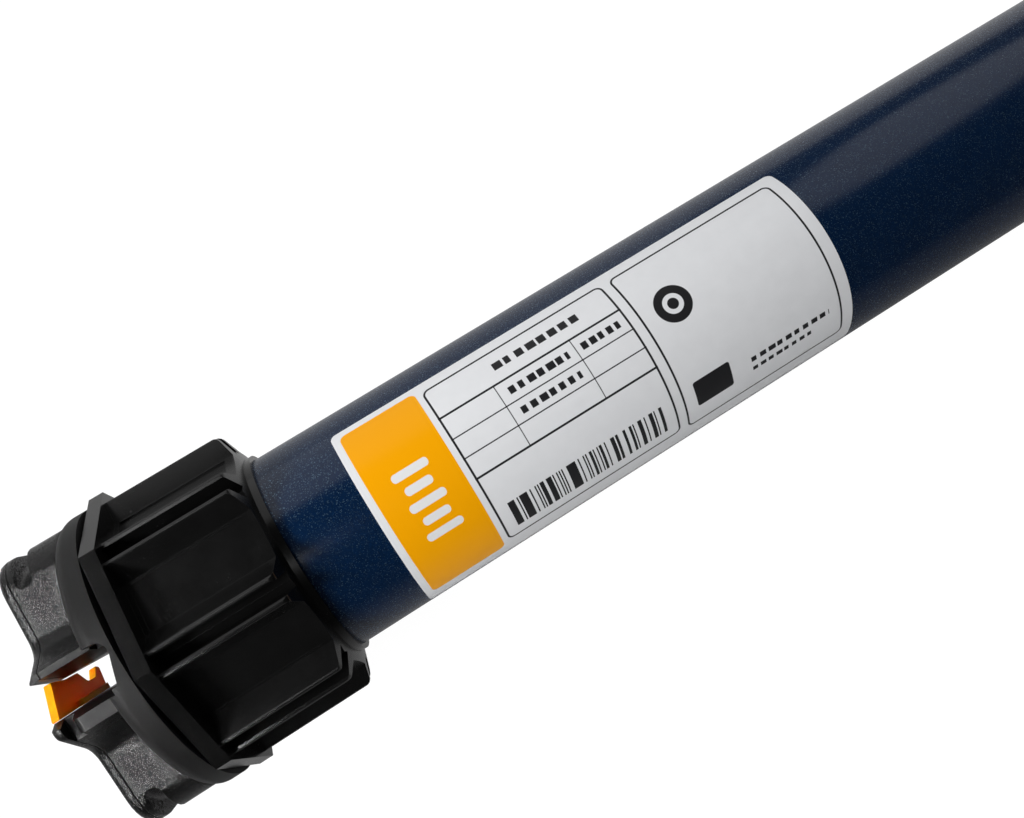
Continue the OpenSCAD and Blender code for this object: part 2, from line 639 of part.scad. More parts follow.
slot_count = 12;
slot_low = stator_bore_d / 2 + 0.8;
slot_high = bore_r - 3.4;
module slot_places() for (i = [0:slot_count - 1]) rotate(360 / slot_count * i) children();
module slot_shape() polygon([[slot_low - 3, -0.8], [slot_low, -0.8], [slot_low, -1.4],
    [slot_high, -2.4], [slot_high, 2.4], [slot_low, 1.4], [slot_low, 0.8], [slot_low - 3, 0.8]]);
module stator_core() color([0.45, 0.46, 0.5]) axial(stator_x) difference() {
    ring(seat_r, stator_bore_d / 2, stack_len);
    slot_places() translate([0, 0, -1]) linear_extrude(stack_len + 2) slot_shape();
}
module stator_windings() color([0.72, 0.36, 0.15]) axial() {
    for (x = [stator_x - winding_h, stator_end_x]) translate([0, 0, x])
        rotate_extrude() polygon([[slot_low + 0.4, 0], [slot_high - 0.6, 0], [slot_high, 1],
            [slot_high, winding_h - 1], [slot_high - 0.6, winding_h], [slot_low + 0.4, winding_h],
            [slot_low, winding_h - 1], [slot_low, 1]]);
    slot_places() translate([0, 0, stator_x - 1]) linear_extrude(stack_len + 2)
        polygon([[slot_low + 0.1, -1.3], [slot_high - 0.1, -2.3],
            [slot_high - 0.1, 2.3], [slot_low + 0.1, 1.3]]);
}

rotor_r = stator_bore_d / 2 - air_gap;
module rotor_core() color([0.66, 0.67, 0.7]) axial(stator_x - 4)
    ring(rotor_r, shaft_r, stack_len + 8);
module rotor_shaft() color([0.8, 0.8, 0.82]) axial(rear_shield_x - 1) {
    cylinder(r = shaft_r, h = brake_plate_x + brake_plate_t - rear_shield_x);
    cylinder(r = sun_bore_r, h = carrier_x1 - gap - rear_shield_x);
}
module first_sun() color([0.7, 0.7, 0.72]) axial(planet_x1)
    gear(sun_teeth, gear_module, first_face, sun_bore_r);

// Brake: a sprung armature holds the disc against the plate until the magnet pulls it
coil_low = shaft_r + 6.5;
coil_high = seat_r - 4;
spring_r = shaft_r + 3.6;
module brake_magnet() color([0.5, 0.5, 0.52]) axial(magnet_x) difference() {
    ring(seat_r, shaft_r + 1, magnet_len);
    translate([0, 0, magnet_len - 12]) ring(coil_high, coil_low, 13);
    translate([0, 0, magnet_len - 10]) cylinder(r = spring_r + 0.3, h = 11);
}
module brake_coil() color([0.7, 0.35, 0.15]) axial(magnet_x + magnet_len - 12)
    ring(coil_high - seat_clear, coil_low + seat_clear, 11);
module brake_spring() color([0.7, 0.7, 0.72]) axial(magnet_x + magnet_len - 10)
    coil_spring(spring_r, 1, 2.4, armature_x - magnet_x - magnet_len + 10);
module brake_armature() color([0.55, 0.55, 0.58]) axial(armature_x)
    ring(bore_r - run_clear, shaft_r + 1, armature_t);
module brake_disc() color([0.3, 0.26, 0.22]) axial(brake_disc_x) ring(seat_r - 2, shaft_r, brake_disc_t);
module brake_plate() color([0.6, 0.6, 0.62]) axial(brake_plate_x) ring(seat_r, shaft_r + 0.5, brake_plate_t);

// Planetary gearbox: one long inner gear, three sets of planets
module ring_gear_sleeve() color([0.4, 0.41, 0.44]) axial(sleeve_x) difference() {
    cylinder(r = seat_r, h = cap_x - sleeve_x);
    translate([0, 0, -1]) inner_gear_space(ring_teeth, gear_module, cap_x - sleeve_x + 2);
}
module planet(x, len, k) axial(x) rotate(120 * k) translate([planet_a, 0, 0])
    gear(planet_teeth, gear_module, len, planet_pin_d / 2 + run_clear);
module first_planet_a() color([0.85, 0.83, 0.75]) planet(planet_x1, first_face, 0);
module first_planet_b() color([0.85, 0.83, 0.75]) planet(planet_x1, first_face, 1);
module first_planet_c() color([0.85, 0.83, 0.75]) planet(planet_x1, first_face, 2);
module second_planet_a() color([0.7, 0.7, 0.72]) planet(planet_x2, second_face, 0);
module second_planet_b() color([0.7, 0.7, 0.72]) planet(planet_x2, second_face, 1);
module second_planet_c() color([0.7, 0.7, 0.72]) planet(planet_x2, second_face, 2);
module third_planet_a() color([0.6, 0.6, 0.63]) planet(planet_x3, third_face, 0);
module third_planet_b() color([0.6, 0.6, 0.63]) planet(planet_x3, third_face, 1);
module third_planet_c() color([0.6, 0.6, 0.63]) planet(planet_x3, third_face, 2);

carrier_r = planet_a + planet_pin_d / 2 + 2.4;
// Plate with three pins on the motor's side
module carrier(x, t, pin_len) axial(x) {
    cylinder(r = carrier_r, h = t);
    for (k = [0:2]) rotate(120 * k) translate([planet_a, 0, -pin_len])
        cylinder(r = planet_pin_d / 2, h = pin_len + 1);
}
module first_carrier() color([0.66, 0.66, 0.68]) {
    carrier(carrier_x1, carrier_t, first_face + gap);
    axial(carrier_x1 + carrier_t) gear(sun_teeth, gear_module, second_face + gap);
}
module second_carrier() color([0.66, 0.66, 0.68]) {
    carrier(carrier_x2, carrier_t, second_face + gap);
    axial(carrier_x2 + carrier_t) gear(sun_teeth, gear_module, third_face + gap);
}

output_r = output_d / 2;
module output_carrier() color([0.7, 0.7, 0.72]) difference() {
    union() {
        carrier(carrier_x3, carrier_t, third_face + gap);
        axial(carrier_x3) cylinder(r = output_r, h = tube_end_x + cap_flange_t + wheel_gap - carrier_x3);
        axial(wheel_x - 1) translate([-output_square / 2, -output_square / 2, 0])
            cube([output_square, output_square, wheel_len + 1]);
    }
    axial(wheel_end_x - 16) cylinder(r = screw_d / 2, h = 20);
}

bush_wall = 2.5;
bush_len = cap_len + cap_flange_t - 8;
module gearbox_end_cap() color([0.6, 0.6, 0.62]) axial(cap_x) difference() {
    union() {
        cylinder(r = seat_r, h = cap_len + cap_flange_t);
        translate([0, 0, cap_len]) cylinder(r = tube_r, h = cap_flange_t);
    }
    translate([0, 0, -1]) cylinder(r = output_r + bush_wall, h = cap_len + cap_flange_t + 2);
    rivet_places(cap_len / 2) cylinder(r = rivet_r + seat_clear, h = 40);
}
module output_bush() color([0.75, 0.55, 0.3]) axial(cap_x)
    ring(output_r + bush_wall - seat_clear, output_r + run_clear, bush_len);
module shaft_seal() color([0.1, 0.1, 0.1]) axial(cap_x + bush_len + 0.5)
    ring(output_r + bush_wall - seat_clear, output_r + run_clear, cap_len + cap_flange_t - bush_len - 0.5);

rivet_r = 1.6;
// Four radial places round the tube at height x
module rivet_places(x) translate([0, 0, x]) for (k = [0:3]) rotate(45 + 90 * k) rotate([0, 90, 0])
    translate([0, 0, output_r + bush_wall + 2]) children();
module tube_rivets() color([0.7, 0.7, 0.72]) axial(cap_x) intersection() {
    rivet_places(cap_len / 2) {
        cylinder(r = rivet_r, h = tube_r - output_r - bush_wall - 2 + 0.8);
        translate([0, 0, tube_r - output_r - bush_wall - 2]) cylinder(r = rivet_r + 1.2, h = 0.8);
    }
    cylinder(r = tube_r + 0.8, h = cap_len);
}

// Octagonal wheel: outer wall, hub on the shaft's square, eight spokes and a web
module drive_wheel() color([0.06, 0.06, 0.065]) axial(wheel_x) difference() {
    union() {
        difference() {
            octagon(wheel_flats, wheel_len);
            translate([0, 0, -1]) octagon(wheel_flats - 2 * wheel_wall, wheel_len + 2);
        }
        for (k = [0:7]) rotate(45 * k + 22.5) translate([wheel_hub_d / 2 - 1, -1.2, 0])
            cube([wheel_flats / 2 - wheel_hub_d / 2 - wheel_wall / 2 + 1, 2.4, wheel_len]);
        cylinder(r = wheel_hub_d / 2, h = wheel_len);
        translate([0, 0, wheel_len / 2 - 1.5]) octagon(wheel_flats - wheel_wall, 3);
    }
    translate([-output_square / 2 - seat_clear, -output_square / 2 - seat_clear, -1])
        cube([output_square + 2 * seat_clear, output_square + 2 * seat_clear, wheel_len + 2]);
}
module wheel_screw() color([0.75, 0.75, 0.78]) axial(wheel_end_x) difference() {
    union() {
        translate([0, 0, -14]) cylinder(r = screw_d / 2, h = 15);
        cylinder(r = 8, h = 1.4);
        cylinder(r = 5, h = 4.4);
    }
    translate([0, 0, 2]) rotate(15) cylinder(r = 2.6, h = 5, $fn = 6);
}

head_body();
button_cover();
up_limit_button();
down_limit_button();
up_button_spring();
down_button_spring();
cable_socket();
socket_pins();
crown_adapter();
motor_tube();
rating_label();
limit_pinion();
idler_gear();
layshaft_gear();
up_cam_wheel();
down_cam_wheel();
limit_spindle();
limit_frame();
up_microswitch();
down_microswitch();
up_switch_plunger();
down_switch_plunger();
supply_leads();
motor_leads();
run_capacitor();
capacitor_rings();
rear_end_shield();
stator_core();
stator_windings();
front_end_shield();
rotor_bushes();
rotor_core();
rotor_shaft();
brake_magnet();
brake_coil();
brake_armature();
brake_spring();
brake_disc();
brake_plate();
ring_gear_sleeve();
first_sun();
first_planet_a();
first_planet_b();
first_planet_c();
first_carrier();
second_planet_a();
second_planet_b();
second_planet_c();
second_carrier();
third_planet_a();
third_planet_b();
third_planet_c();
output_carrier();
gearbox_end_cap();
output_bush();
shaft_seal();
tube_rivets();
drive_wheel();
wheel_screw();
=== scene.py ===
"""Looks of a tubular roller blind motor: star head, ribbed octagonal crown,
navy metallic tube with its rating label, and the drive wheel at the far end."""
import math

import bpy
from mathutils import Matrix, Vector


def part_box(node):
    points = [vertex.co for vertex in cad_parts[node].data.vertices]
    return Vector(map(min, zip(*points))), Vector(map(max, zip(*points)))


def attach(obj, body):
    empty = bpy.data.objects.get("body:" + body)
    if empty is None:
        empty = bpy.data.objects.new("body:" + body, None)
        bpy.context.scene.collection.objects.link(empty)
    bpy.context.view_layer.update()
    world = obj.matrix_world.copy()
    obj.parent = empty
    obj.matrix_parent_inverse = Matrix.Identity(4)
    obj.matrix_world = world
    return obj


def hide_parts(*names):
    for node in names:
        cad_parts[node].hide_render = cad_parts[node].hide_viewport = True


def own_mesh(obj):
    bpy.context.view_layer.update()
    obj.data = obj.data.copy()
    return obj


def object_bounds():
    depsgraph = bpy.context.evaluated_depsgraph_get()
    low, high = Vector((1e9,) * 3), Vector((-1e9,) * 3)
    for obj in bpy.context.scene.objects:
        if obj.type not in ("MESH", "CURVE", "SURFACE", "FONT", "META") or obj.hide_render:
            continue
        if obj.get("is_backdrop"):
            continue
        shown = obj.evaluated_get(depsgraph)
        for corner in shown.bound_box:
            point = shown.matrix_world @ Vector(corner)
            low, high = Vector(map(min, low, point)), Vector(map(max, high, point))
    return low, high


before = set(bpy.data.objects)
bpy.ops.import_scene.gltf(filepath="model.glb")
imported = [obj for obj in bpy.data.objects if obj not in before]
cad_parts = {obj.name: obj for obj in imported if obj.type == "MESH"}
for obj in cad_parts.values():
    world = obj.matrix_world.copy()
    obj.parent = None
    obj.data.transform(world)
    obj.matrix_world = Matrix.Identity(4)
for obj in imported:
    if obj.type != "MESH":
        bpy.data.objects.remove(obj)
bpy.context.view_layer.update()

MM = 0.001
HEAD_TURN = math.radians(107)    # from +y round the axis to the side that faces the camera
SEAM_X = -10.9 * MM              # parting line behind the star's front edge

TUBE_R = 22.5 * MM
TUBE_BORE = 21.3 * MM
TUBE_SIDES = 192
TUBE_RIM = 0.2 * MM

LABEL_R = 22.65 * MM
LABEL_X = (55.2 * MM, 162.9 * MM)
LABEL_ARC = (math.radians(-48.5), math.radians(74))
LABEL_CORNER = 1.4 * MM
LABEL_THICK = 0.12 * MM
LABEL_STRIPS = 72                # flat strips that make up the curve

CAMERA_LENS, CAMERA_SENSOR = 31.98, 36
CAMERA_PLACE = (66.5 * MM, -58.02 * MM, 189.77 * MM)
CAMERA_TURN = [math.radians(angle) for angle in (18.9495, 3.4611, -32.1314)]

# Name, place, aim, size in metres, watts, spread in degrees, shape.
# The narrow head lamps light the star's flanks and miss the crown.
LAMPS = (
    ("side_panel", (-0.1, 0.52, 0.32), (-0.1, 0, 0.02), (1.0, 0.69), 2.05, 180, "RECTANGLE"),
    ("upper_head_lamp", (-0.137, 0.016, 0.35), (-0.007, 0.0164, 0.0157), (0.04, 0.04), 0.0034, 8,
     "ELLIPSE"),
    ("lower_head_lamp", (-0.137, -0.209, 0.281), (-0.007, -0.0218, 0.0106), (0.04, 0.04), 0.0033, 8,
     "ELLIPSE"),
    ("fill_lamp", (-0.34, -0.09, 0.33), (0.1, 0, 0.02), (0.3, 0.1), 2.95, 180, "ELLIPSE"),
    ("rib_strip", (-0.065, -0.096, 0.316), (-0.005, 0, 0), (0.09, 0.03), 0.07, 180, "RECTANGLE"),
    ("strip_lamp", (0.50, 0.2535, 0.37), (0.245, 0, 0.022), (0.3, 0.44), 0.35, 180, "RECTANGLE"),
    ("far_lamp", (0.62, 0.0, 0.45), (0.62, 0, 0), (0.3, 0.3), 1.5, 60, "RECTANGLE"),
)


class Wire:
    """A shader socket that takes part in Python sums: each operator adds a Math node."""

    def __init__(self, tree, socket=None):
        self.tree, self.socket = tree, socket

    def add(self, kind, settings=None, sockets=None, pick=0):
        """Any other node: its settings first, then its sockets' values or links."""
        node = self.tree.nodes.new(kind)
        for key, value in (settings or {}).items():
            setattr(node, key, value)
        for key, value in (sockets or {}).items():
            if isinstance(value, Wire):
                self.tree.links.new(value.socket, node.inputs[key])
            else:
                node.inputs[key].default_value = value
        return Wire(self.tree, node.outputs[pick])

    def maths(self, operation, *values):
        return self.add("ShaderNodeMath", {"operation": operation}, dict(enumerate(values)))

    def vectors(self, operation, sockets):
        return self.add("ShaderNodeVectorMath", {"operation": operation}, sockets)

    def parts(self):
        """The x, y and z of a vector, or the red, green and blue of a colour."""
        split = self.add("ShaderNodeSeparateXYZ", None, {0: self}).socket.node
        return [Wire(self.tree, out) for out in split.outputs]

    def __add__(self, other):
        return self.maths("ADD", self, other)

    __radd__ = __add__

    def __sub__(self, other):
        return self.maths("SUBTRACT", self, other)

    def __rsub__(self, other):
        return self.maths("SUBTRACT", other, self)

    def __mul__(self, other):
        return self.maths("MULTIPLY", self, other)

    __rmul__ = __mul__

    def __truediv__(self, other):
        return self.maths("DIVIDE", self, other)

    def __rtruediv__(self, other):
        return self.maths("DIVIDE", other, self)

    def __gt__(self, other):
        return self.maths("GREATER_THAN", self, other)

    def __lt__(self, other):
        return self.maths("LESS_THAN", self, other)

    def __mod__(self, other):
        return self.maths("FLOORED_MODULO", self, other)

    def __abs__(self):
        return self.maths("ABSOLUTE", self)

    def most(self, other):
        return self.maths("MAXIMUM", self, other)

    def least(self, other):
        return self.maths("MINIMUM", self, other)

    def clamp(self):
        return self.most(0.0).least(1.0)

    def root(self):
        return self.maths("SQRT", self)

    def floor(self):
        return self.maths("FLOOR", self)

    def blend(self, low, high):
        """Colour from low to high as this value goes from 0 to 1."""
        return self.add("ShaderNodeMix", {"data_type": "RGBA"}, {0: self, 6: low, 7: high}, 2)

    def random(self):
        """One fixed random value for each whole number."""
        return self.add("ShaderNodeTexWhiteNoise", {"noise_dimensions": "1D"}, {"W": self})


def grey(value):
    return (value, value, value, 1.0)


def shade(colour, factor):
    return tuple(min(1.0, c * factor) for c in colour[:3]) + (1.0,)


class Finish:
    """A material with one Principled shader; object coordinates come as a wire."""

    def __init__(self, name, **constants):
        self.material = bpy.data.materials.new(name)
        self.material.use_nodes = True
        self.tree = self.material.node_tree
        self.shader = self.tree.nodes["Principled BSDF"]
        self.wire = Wire(self.tree)
        for key, value in constants.items():
            self.shader.inputs[key.replace("_", " ")].default_value = value
        self.place = self.wire.add("ShaderNodeTexCoord", pick="Object")

    def feed(self, socket, wire):
        self.tree.links.new(wire.socket, self.shader.inputs[socket])

    def turned(self):
        """Object coordinates with the second axis towards the camera's side of the head."""
        return self.wire.add("ShaderNodeMapping", None,
                             {"Vector": self.place, "Rotation": (-HEAD_TURN, 0, 0)})

    def noise(self, size, detail=2.0, place=None):
        """Noise whose blobs measure about size metres."""
        return self.wire.add("ShaderNodeTexNoise", None,
                             {"Vector": place or self.place, "Scale": 1 / size, "Detail": detail})

    def cells(self, size):
        """A random colour for each grain of about size metres."""
        return self.wire.add("ShaderNodeTexVoronoi", None,
                             {"Vector": self.place, "Scale": 1 / size}, "Color")

    def bump(self, height, distance, strength=1.0, normal=None):
        sockets = {"Strength": strength, "Distance": distance, "Height": height}
        if normal:
            sockets["Normal"] = normal
        self.feed("Normal", self.wire.add("ShaderNodeBump", None, sockets))

    def tilted(self, cell, amount):
        """Surface normal tipped at random from cell to cell."""
        wire = self.wire
        shift = wire.vectors("SUBTRACT", {0: cell, 1: (0.5, 0.5, 0.5)})
        shift = wire.vectors("SCALE", {0: shift, "Scale": amount})
        normal = wire.add("ShaderNodeNewGeometry", pick="Normal")
        leant = wire.vectors("ADD", {0: normal, 1: shift})
        return wire.vectors("NORMALIZE", {0: leant})


def moulded_plastic(name, colour, rough, grain=0.35 * MM, depth=0.012 * MM, mottle=0.25):
    """Injection-moulded plastic: eroded grain, slight colour and gloss drift."""
    finish = Finish(name)
    drift = finish.noise(6 * MM, 4.0)
    finish.feed("Base Color", drift.blend(shade(colour, 1 - mottle), shade(colour, 1 + mottle)))
    finish.feed("Roughness", finish.noise(2 * MM, 3.0) * 0.14 + (rough - 0.07))
    finish.bump(finish.noise(grain, 3.0), depth)
    return finish.material


def bright_metal(name, colour, rough, line=0.25 * MM, depth=0.004 * MM):
    """Turned or ground metal: fine rings round the axis, stains in the gloss."""
    finish = Finish(name, Metallic=1.0)
    x, y, z = finish.place.parts()
    radius = (y * y + z * z).root()
    rings = finish.wire.add("ShaderNodeCombineXYZ", None, {0: x, 1: radius})
    scratch = finish.noise(line, 2.0, rings)
    stain = finish.noise(9 * MM, 4.0)
    finish.feed("Base Color", stain.blend(shade(colour, 0.8), colour))
    finish.feed("Roughness", scratch * 0.16 + stain * 0.1 + (rough - 0.12))
    finish.bump(scratch, depth)
    return finish.material


def cast_metal(name, colour, rough=0.5):
    """Sand-blasted die casting."""
    finish = Finish(name, Metallic=0.9)
    skin = finish.noise(0.5 * MM, 4.0)
    finish.feed("Base Color", finish.noise(5 * MM, 4.0).blend(shade(colour, 0.75), colour))
    finish.feed("Roughness", skin * 0.2 + (rough - 0.1))
    finish.bump(skin, 0.03 * MM)
    return finish.material


def stacked_sheet(name, sheet=0.5 * MM):
    """Electrical sheet: thin layers along the axis."""
    finish = Finish(name, Metallic=0.85)
    x, _, _ = finish.place.parts()
    layer = abs((x % sheet) * (1 / sheet) - 0.5)
    finish.feed("Base Color", layer.blend(grey(0.16), grey(0.34)))
    finish.feed("Roughness", layer * 0.2 + finish.noise(1 * MM) * 0.1 + 0.3)
    finish.bump(layer, 0.05 * MM)
    return finish.material


def wound_copper(name, pitch=0.6 * MM, wander=1.5 * MM):
    """Varnished copper: strands with a darker line between them."""
    finish = Finish(name, Metallic=0.9, Coat_Weight=0.6, Coat_Roughness=0.2)
    x, _, _ = finish.place.parts()
    strand = abs(((x + finish.noise(3 * MM) * wander) % pitch) * (1 / pitch) - 0.5) * 2
    finish.feed("Base Color", strand.blend((0.52, 0.2, 0.07, 1), (0.2, 0.06, 0.02, 1)))
    finish.feed("Roughness", strand * 0.25 + 0.25)
    finish.bump(1 - strand, 0.12 * MM)
    return finish.material


def navy_paint(flake_size=0.14 * MM):
    """Metallic paint under clear lacquer: fine flakes that glint one by one."""
    finish = Finish("navy_metallic_paint", Coat_Weight=0.7, Coat_Roughness=0.2,
                    Specular_IOR_Level=0.0)
    flake = finish.cells(flake_size)
    spark = flake.parts()[0]
    glint = finish.noise(1.3 * MM, 2.0)
    bright = ((spark - 0.88) * 9).clamp() * (glint * 1.3).clamp()
    cloud = finish.noise(7 * MM, 3.0)
    base = cloud.blend((0.0006, 0.0108, 0.040, 1), (0.001, 0.0145, 0.051, 1))
    finish.feed("Base Color", bright.blend(base, (0.13, 0.23, 0.33, 1)))
    finish.feed("Metallic", bright * 0.75 + 0.25)
    finish.feed("Roughness", 0.5 - bright * 0.28 + cloud * 0.06)
    finish.feed("Normal", finish.tilted(flake, 0.5))
    return finish.material


def star_plastic():
    """Black plastic: eroded grain glitters on the star, smoother by the slot and on the collar."""
    grain_size, glitter_size, seam_width = 0.3 * MM, 0.15 * MM, 0.16 * MM
    smooth_side, grain_rise = 5.0 * MM, 4.0 * MM
    collar_start, collar_rise = -0.5 * MM, 1.0 * MM
    finish = Finish("grained_black_plastic", Specular_IOR_Level=0.24)
    x, _, side = finish.turned().parts()
    collar = ((x - collar_start) / collar_rise).clamp()
    eroded = (1 - collar) * ((abs(side) - smooth_side) / grain_rise).clamp()
    # Groove along the parting line: cut in by the bump and rougher; its darker colour is painted
    # shade in the groove.
    seam_groove_and_shade = (1 - abs(x - SEAM_X) / seam_width).clamp()
    grain = finish.noise(grain_size, 2.0)
    coarse = finish.noise(3 * grain_size, 2.0)
    drift = finish.noise(8 * MM, 4.0)
    # The colour is darkest along the parting-line groove: painted shade.
    tone = (drift * 0.7 + grain * 0.3) * (1 - seam_groove_and_shade)
    finish.feed("Base Color", tone.blend(grey(0.0025), grey(0.009)))
    finish.feed("Roughness", 0.36 - eroded * 0.16 + collar * 0.16 + drift * 0.08 + seam_groove_and_shade * 0.3)
    finish.bump((grain + coarse * 0.2) * (eroded * 0.8 + 0.2) - seam_groove_and_shade * 3, 0.05 * MM,
                normal=finish.tilted(finish.cells(glitter_size), eroded * 0.4))
    return finish.material


def cover_plastic():
    """Orange plastic that lets some light through."""
    finish = Finish("orange_plastic", Specular_IOR_Level=0.1, Subsurface_Weight=0.42,
                    Subsurface_Scale=3 * MM, Subsurface_Radius=(1.0, 0.25, 0.02))
    drift = finish.noise(6 * MM, 4.0)
    finish.feed("Base Color", drift.blend((0.9, 0.33, 0.003, 1), (0.98, 0.39, 0.005, 1)))
    finish.feed("Roughness", finish.noise(2 * MM, 3.0) * 0.14 + 0.43)
    finish.bump(finish.noise(0.35 * MM, 3.0), 0.012 * MM)
    return finish.material


def crown_plastic():
    """Smooth black plastic: faint flow marks and rubbed patches in the gloss."""
    finish = Finish("black_crown_plastic", Specular_IOR_Level=0.32)
    flow = finish.noise(5 * MM, 5.0)
    rub = finish.noise(0.8 * MM, 4.0)
    finish.feed("Base Color", flow.blend(grey(0.003), grey(0.006)))
    finish.feed("Roughness", 0.14 + flow * 0.12 + rub * 0.08)
    finish.bump(flow * 0.7 + rub * 0.3, 0.03 * MM, 0.5)
    return finish.material


def label_print():
    """White film: orange panel, ruled table, bars and plain marks, all drawn by rule.

    Places are in millimetres: x along the tube, s round it from the camera's side."""
    soft_edge = 0.09
    bold, fine = 0.45, 0.26
    table = (75.3, 118.0, -16.6, 23.4)
    marks = (119.9, 160.2, -16.5, 24.0)
    corner = 1.6
    rows = ((-8.8, bold), (-3.8, fine), (0.6, fine), (5.2, bold))
    columns = ((87.8, 88.0), (105.6, 105.8))
    # x and s of each run of dashes, its pitch and its seed.
    table_runs = ((90, 110, -13.4, -11.6, 2.6, 3.0), (90, 104, -7.0, -5.4, 2.2, 11.0),
                  (90, 104, -2.3, -0.8, 2.2, 23.0), (107, 116, -7.0, -5.4, 2.0, 31.0))
    mark_runs = ((137, 157, 15.0, 16.2, 2.2, 41.0), (137, 152, 17.6, 18.6, 2.0, 47.0))
    bar_module, bar_share = 0.3, 0.45
    ring = (127.5, -4.0)
    slat_count, slat_pitch = 5, 3.4

    finish = Finish("label_film", Roughness=0.28, Specular_IOR_Level=0.14)
    x, near, low = finish.turned().parts()
    x = x * 1000.0
    s = finish.wire.maths("ARCTAN2", low, near) * (LABEL_R * 1000)

    def inside(depth):
        return (depth / soft_edge + 0.5).clamp()

    def band(value, low, high):
        half = (high - low) / 2
        return inside(half - abs(value - (low + half)))

    def box(x0, x1, s0, s1):
        return band(x, x0, x1) * band(s, s0, s1)

    def round_box(x0, x1, s0, s1, r):
        dx = (abs(x - (x0 + x1) / 2) - ((x1 - x0) / 2 - r)).most(0.0)
        ds = (abs(s - (s0 + s1) / 2) - ((s1 - s0) / 2 - r)).most(0.0)
        return inside(r - (dx * dx + ds * ds).root())

    def disc(centre, r):
        dx, ds = x - centre[0], s - centre[1]
        return inside(r - (dx * dx + ds * ds).root())

    def frame_line(x0, x1, s0, s1):
        inner = round_box(x0 + bold, x1 - bold, s0 + bold, s1 - bold, corner - bold)
        return round_box(x0, x1, s0, s1, corner) - inner

    def dashes(x0, x1, s0, s1, pitch, seed):
        """A run of unequal dashes, as words too small to read."""
        cell = ((x - x0) / pitch).floor()
        along = (x - x0) - cell * pitch
        return box(x0, x1, s0, s1) * (along < ((cell + seed).random() * 0.35 + 0.5) * pitch)

    orange = round_box(56.8, 74.0, -17.6, 25.0, LABEL_CORNER / MM)
    slats = 0.0
    for k in range(slat_count):
        s0 = -4.0 + slat_pitch * k
        slats = slats + round_box(61.5 + k % 2, 69.5 - k % 2, s0, s0 + 1.8, 0.8)
    ink = frame_line(*table) + frame_line(*marks)
    for s0, width in rows:
        ink = ink + box(table[0], table[1], s0 - width / 2, s0 + width / 2)
    for x0, x1 in columns:
        ink = ink + box(x0, x1, rows[0][0], rows[-1][0])
    for run in table_runs + mark_runs:
        ink = ink + dashes(*run)
    bars = (x / bar_module).floor().random()
    ink = ink + box(78.0, 115.0, 13.2, 20.4) * (bars > bar_share)
    ink = ink + round_box(123.0, 132.0, 12.5, 19.0, 0.6)
    ink = ink + disc(ring, 4.0) - disc(ring, 2.2) + disc(ring, 1.2)
    ink = ink.clamp() * (1 - orange)

    paper = finish.noise(3 * MM, 3.0).blend((0.80, 0.81, 0.83, 1), (0.86, 0.87, 0.89, 1))
    dyed = orange.blend(paper, (0.99, 0.41, 0.0005, 1))
    dyed = (slats.clamp() * orange).blend(dyed, (0.85, 0.85, 0.85, 1))
    finish.feed("Base Color", ink.blend(dyed, (0.02, 0.02, 0.022, 1)))
    finish.bump(finish.noise(0.6 * MM, 3.0), 0.006 * MM, 0.6)
    return finish.material


def deselect():
    if bpy.context.mode != "OBJECT":
        bpy.ops.object.mode_set(mode="OBJECT")
    bpy.ops.object.select_all(action="DESELECT")


def activate(piece):
    deselect()
    piece.select_set(True)
    bpy.context.view_layer.objects.active = piece


def modify(piece, kind, **settings):
    """Adds a modifier to the active piece and applies it."""
    modifier = piece.modifiers.new("step", kind)
    for key, value in settings.items():
        setattr(modifier, key, value)
    bpy.ops.object.modifier_apply(modifier=modifier.name)


dressed = set()


def settle(piece, name, material, body, node, angle=30):
    """Names a finished piece, sets its finish, ties it to its body, and hides and records the CAD
    node it stands in for.
    """
    activate(piece)
    bpy.ops.object.transform_apply(location=True, rotation=True, scale=True)
    bpy.ops.object.shade_smooth_by_angle(angle=math.radians(angle))
    modify(piece, "WEIGHTED_NORMAL", keep_sharp=True)
    piece.name = piece.data.name = name
    piece.data.materials.clear()
    piece.data.materials.append(material)
    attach(piece, body)
    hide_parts(node)
    dressed.add(node)
    return piece


def merged_copy(node):
    """Copy of a CAD node as one welded mesh."""
    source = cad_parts[node]
    piece = source.copy()
    piece.data = source.data.copy()
    bpy.context.collection.objects.link(piece)
    activate(piece)
    bpy.ops.object.mode_set(mode="EDIT")
    bpy.ops.mesh.select_all(action="SELECT")
    bpy.ops.mesh.remove_doubles(threshold=1e-6)
    bpy.ops.mesh.dissolve_limited(angle_limit=math.radians(1.0))
    bpy.ops.object.mode_set(mode="OBJECT")
    return piece


def eased_copy(node, width, angle=28):
    """Copy of a CAD node with its edges eased by a small bevel."""
    piece = merged_copy(node)
    modify(piece, "BEVEL", width=width, segments=2, limit_method="ANGLE",
           angle_limit=math.radians(angle), use_clamp_overlap=True)
    return piece


def pressed_spring(node, name):
    """Coil spring: a welded copy of its CAD node, in steel, with a mesh of its own."""
    piece = settle(merged_copy(node), name, STEEL, "motor_body", node, 50)
    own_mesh(piece)


def painted_tube():
    """Tube: an open cylinder given its wall, with turned rims."""
    low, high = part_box("motor_tube")
    deselect()
    bpy.ops.mesh.primitive_cylinder_add(vertices=TUBE_SIDES, radius=TUBE_R, depth=high[0] - low[0],
                                        location=((low[0] + high[0]) / 2, 0, 0),
                                        rotation=(0, math.pi / 2, 0), end_fill_type="NOTHING")
    piece = bpy.context.object
    bpy.ops.object.transform_apply(location=True, rotation=True, scale=True)
    modify(piece, "SOLIDIFY", thickness=TUBE_R - TUBE_BORE, offset=-1)
    modify(piece, "BEVEL", width=TUBE_RIM, segments=2, limit_method="ANGLE")
    return settle(piece, "painted_tube", navy_paint(), "motor_body", "motor_tube")


